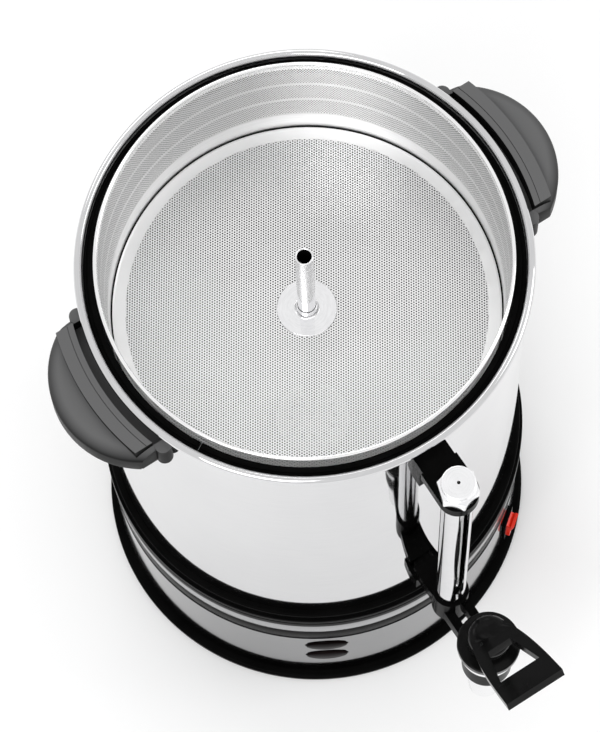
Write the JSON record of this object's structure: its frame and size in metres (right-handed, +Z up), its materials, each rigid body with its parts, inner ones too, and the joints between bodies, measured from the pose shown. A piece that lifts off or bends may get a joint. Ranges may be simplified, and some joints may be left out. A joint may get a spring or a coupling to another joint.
{
  "type": "catering coffee percolator urn",
  "caption": "Steel coffee percolator urn with its lid off: perforated basket on a riser tube, guarded sight gauge with lever tap, two scoop handles, rocker switch and lamps.",
  "frame": {"origin": "centre of the foot ring, on the surface the urn stands on", "axes": "+Z up along the riser tube; -Y towards the tap and sight gauge; +X towards the right handle"},
  "size_m": [0.336, 0.3984, 0.458],
  "materials": {
    "shell_steel": "polished",
    "vessel_steel": "satin",
    "skirt_steel": "satin",
    "trim_steel": "polished",
    "black_plastic": "satin",
    "gloss_black": "gloss",
    "black_rubber": "matte",
    "silicone": "matte",
    "plated": "polished",
    "aluminium": "machined",
    "zinc_steel": "zinc plated",
    "perforated_steel": "satin",
    "red_plastic": "gloss",
    "smoked_lens": "gloss",
    "clear_glass": "clear",
    "terminal_plastic": "matte"
  },
  "bodies": {
    "urn": {"outer_shell": "shell_steel", "inner_vessel": "vessel_steel", "rim_gasket": "black_rubber", "base_collar": "black_plastic", "trim_band": "trim_steel", "base_housing": "black_plastic", "base_skirt": "skirt_steel", "foot_ring": "black_plastic", "base_plate": "zinc_steel", "base_plate_screws": "zinc_steel", "heater_block": "aluminium", "heating_element": "zinc_steel", "thermostat": "terminal_plastic", "thermal_cutout": "terminal_plastic", "terminal_block": "terminal_plastic", "cord_gland": "black_plastic", "right_handle_bracket": "black_plastic", "right_handle_grip": "black_plastic", "left_handle_bracket": "black_plastic", "left_handle_grip": "black_plastic", "handle_screws": "zinc_steel", "gauge_bracket": "black_plastic", "gauge_bracket_screw": "zinc_steel", "gauge_cap": "plated", "gauge_guard_tube": "plated", "gauge_glass": "clear_glass", "gauge_seals": "silicone", "tap_body": "black_plastic", "tap_gasket": "silicone", "tap_back_nut": "plated", "tap_bonnet": "gloss_black", "bonnet_ring": "plated", "tap_spout": "plated", "switch_housing": "black_plastic", "upper_lamp_lens": "smoked_lens", "lower_lamp_lens": "smoked_lens", "lamp_holders": "terminal_plastic"},
    "pump": {"riser_tube": "plated", "tube_stop": "plated", "pump_foot": "perforated_steel", "foot_valve_washer": "zinc_steel"},
    "basket": {"basket_wall": "perforated_steel", "basket_floor": "perforated_steel", "basket_boss": "plated"},
    "lever": {"tap_lever": "gloss_black", "lever_pin": "zinc_steel"},
    "valve": {"valve_stem": "zinc_steel", "seat_cup": "silicone", "valve_spring": "zinc_steel"},
    "rocker": {"switch_rocker": "red_plastic"}
  },
  "joints": [
    {"name": "pump_lift", "type": "slide", "parent": "urn", "child": "pump", "axis": [0, 0, 1], "range_m": [0, 0.33]},
    {"name": "basket_lift", "type": "slide", "parent": "pump", "child": "basket", "axis": [0, 0, 1], "range_m": [0, 0.12]},
    {"name": "lever_turn", "type": "hinge", "parent": "urn", "child": "lever", "pos_m": [0, -0.205, 0.229], "axis": [1, 0, 0], "range_deg": [0, 20], "stiffness_Nm_per_rad": 0.15, "springref_deg": -14.32},
    {"name": "valve_lift", "type": "slide", "parent": "urn", "child": "valve", "axis": [0, 0, 1], "range_m": [0, 0.0032], "deforming": ["valve_spring"]},
    {"name": "rocker_turn", "type": "hinge", "parent": "urn", "child": "rocker", "pos_m": [0.08268, -0.10583, 0.049], "axis": [-0.788, -0.6157, 0], "range_deg": [0, 12]}
  ],
  "couplings": [
    {"joint": "valve_lift", "follows": "lever_turn", "m_per_rad": 0.009}
  ]
}
